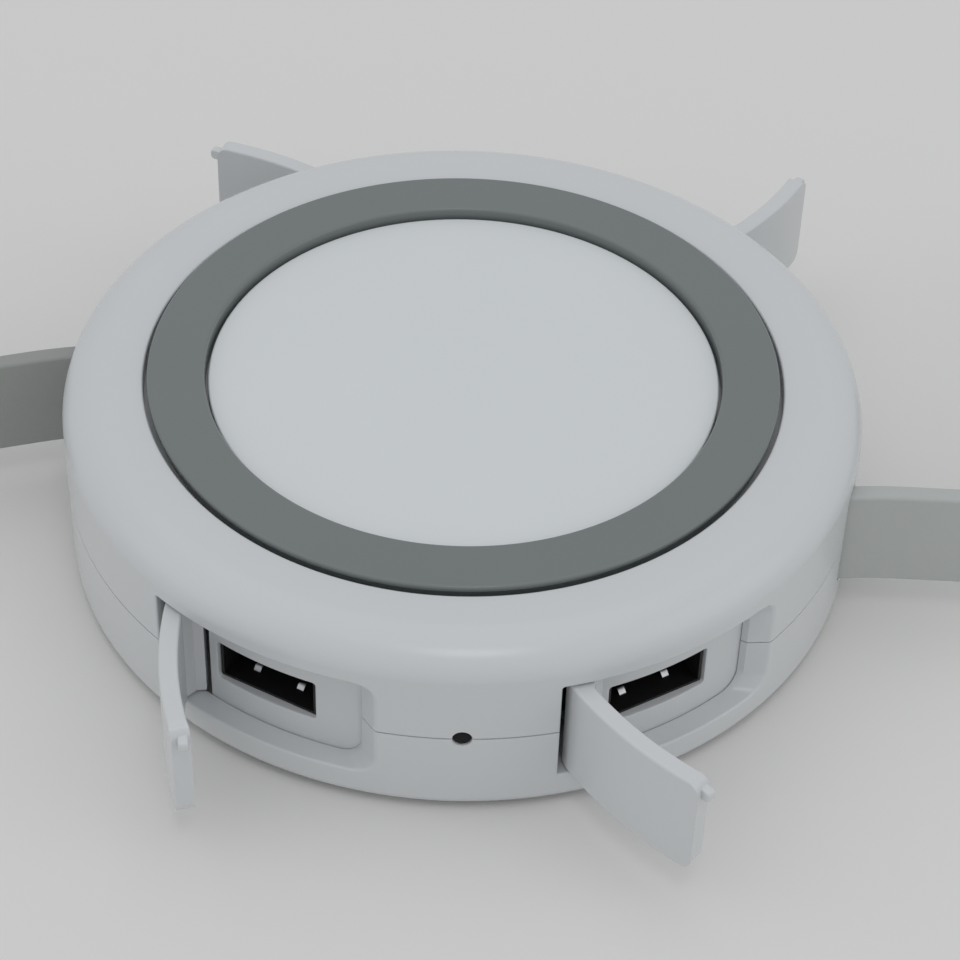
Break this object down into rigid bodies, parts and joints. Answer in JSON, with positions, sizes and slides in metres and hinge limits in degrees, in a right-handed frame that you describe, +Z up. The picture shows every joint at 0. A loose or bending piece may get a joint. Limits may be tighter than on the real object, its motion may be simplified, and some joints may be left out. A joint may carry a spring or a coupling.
{
  "type": "wireless charging pad",
  "caption": "Round wireless charging pad with a grey grip ring, doored USB sockets round its rim and a two-way flat cable that winds onto a reel inside.",
  "frame": {"origin": "centre of the round rubber base, on the surface the pad stands on", "axes": "+Z up through the charging face; -Y is the front, where the indicator light is; +X to the right seen from the front"},
  "size_m": [0.2224, 0.1465, 0.0265],
  "materials": {
    "gloss_white": "glossy moulded white plastic with a faint moulding texture",
    "satin_white": "satin white plastic",
    "grey_rubber": "matt mid-grey silicone rubber",
    "black_rubber": "matt black rubber",
    "black_plastic": "matt black plastic",
    "dark_lens": "smooth dark tinted lens",
    "flat_cable_left": "matt mid-grey flexible cable jacket",
    "flat_cable_right": "matt light-grey flexible cable jacket",
    "plug_grey": "matt grey over-moulded plastic",
    "steel": "nickel-plated steel",
    "black_metal": "black-plated steel, satin",
    "spring_steel": "blued spring strip",
    "copper": "enamelled copper winding",
    "brass": "plated brass contact",
    "ferrite": "sintered ferrite",
    "nylon": "natural nylon",
    "circuit_board": "green solder mask"
  },
  "bodies": {
    "root": {"top_shell": "gloss_white", "bottom_shell": "gloss_white", "base_pad": "black_rubber", "grip_ring": "grey_rubber", "centre_disc": "satin_white", "shell_screw_1": "steel", "shell_screw_2": "steel", "shell_screw_3": "steel", "shell_screw_4": "steel", "port_bezel_front_left": "gloss_white", "usb_sleeve_front_left": "black_metal", "usb_tongue_front_left": "black_plastic", "hinge_pin_front_left": "steel", "port_bezel_front_right": "gloss_white", "usb_sleeve_front_right": "black_metal", "usb_tongue_front_right": "black_plastic", "hinge_pin_front_right": "steel", "port_bezel_rear_right": "gloss_white", "usb_sleeve_rear_right": "black_metal", "usb_tongue_rear_right": "black_plastic", "hinge_pin_rear_right": "steel", "port_bezel_rear_left": "gloss_white", "usb_sleeve_rear_left": "black_metal", "usb_tongue_rear_left": "black_plastic", "hinge_pin_rear_left": "steel", "indicator_lens": "dark_lens", "coil_tray": "nylon", "ferrite_sheet": "ferrite", "transmitter_coil": "copper", "front_board": "circuit_board", "rear_board": "circuit_board", "board_link": "flat_cable_right", "charger_chip": "black_plastic", "power_inductor": "ferrite", "hub_chip": "black_plastic", "brush_block": "black_plastic", "axle_post": "steel", "pawl_pin": "steel", "exit_guide_left": "black_plastic", "exit_guide_right": "black_plastic"},
    "reel": {"reel_drum": "nylon", "reel_top_flange": "nylon", "slip_ring_disc": "brass", "reel_spring": "spring_steel", "cable_winding_left": "flat_cable_left", "cable_winding_right": "flat_cable_right"},
    "brake": {"brake_pawl": "nylon"},
    "left_cable": {"cable_lead_left": "flat_cable_left", "cable_left": "flat_cable_left", "plug_grip_left": "plug_grey", "plug_tip_left": "steel"},
    "right_cable": {"cable_lead_right": "flat_cable_right", "cable_right": "flat_cable_right", "plug_grip_right": "plug_grey", "plug_tip_right": "steel"},
    "door_front_left": {"door_front_left": "gloss_white"},
    "door_front_right": {"door_front_right": "gloss_white"},
    "door_rear_right": {"door_rear_right": "gloss_white"},
    "door_rear_left": {"door_rear_left": "gloss_white"}
  },
  "joints": [
    {"name": "door_front_left_hinge", "type": "hinge", "parent": "root", "child": "door_front_left", "pos_m": [-0.03321, -0.03535, 0.0127], "axis": [0, 0, -1], "range_deg": [-53, 49]},
    {"name": "door_front_right_hinge", "type": "hinge", "parent": "root", "child": "door_front_right", "pos_m": [0.01319, -0.04667, 0.0127], "axis": [0, 0, -1], "range_deg": [-76.5, 25.5]},
    {"name": "door_rear_right_hinge", "type": "hinge", "parent": "root", "child": "door_rear_right", "pos_m": [0.03382, 0.03476, 0.0127], "axis": [0, 0, -1], "range_deg": [-97.5, 4.5]},
    {"name": "door_rear_left_hinge", "type": "hinge", "parent": "root", "child": "door_rear_left", "pos_m": [-0.01642, 0.04564, 0.0127], "axis": [0, 0, -1], "range_deg": [-60.5, 41.5]},
    {"name": "reel_spin", "type": "hinge", "parent": "root", "child": "reel", "pos_m": [0, 0, 0.0126], "axis": [0, 0, 1], "range_deg": [0, 78]},
    {"name": "left_cable_pull", "type": "slide", "parent": "root", "child": "left_cable", "axis": [-0.9875, -0.1576, 0], "range_m": [0, 0.0238]},
    {"name": "right_cable_pull", "type": "slide", "parent": "root", "child": "right_cable", "axis": [0.9986, 0.0535, 0], "range_m": [0, 0.0238]},
    {"name": "brake_swing", "type": "hinge", "parent": "root", "child": "brake", "pos_m": [-0.02311, -0.01397, 0.0053], "axis": [0, 0, -1], "range_deg": [-12, 0]}
  ],
  "couplings": [
    {"joint": "left_cable_pull", "follows": "reel_spin", "m_per_rad": 0.0174},
    {"joint": "right_cable_pull", "follows": "reel_spin", "m_per_rad": 0.0174}
  ]
}
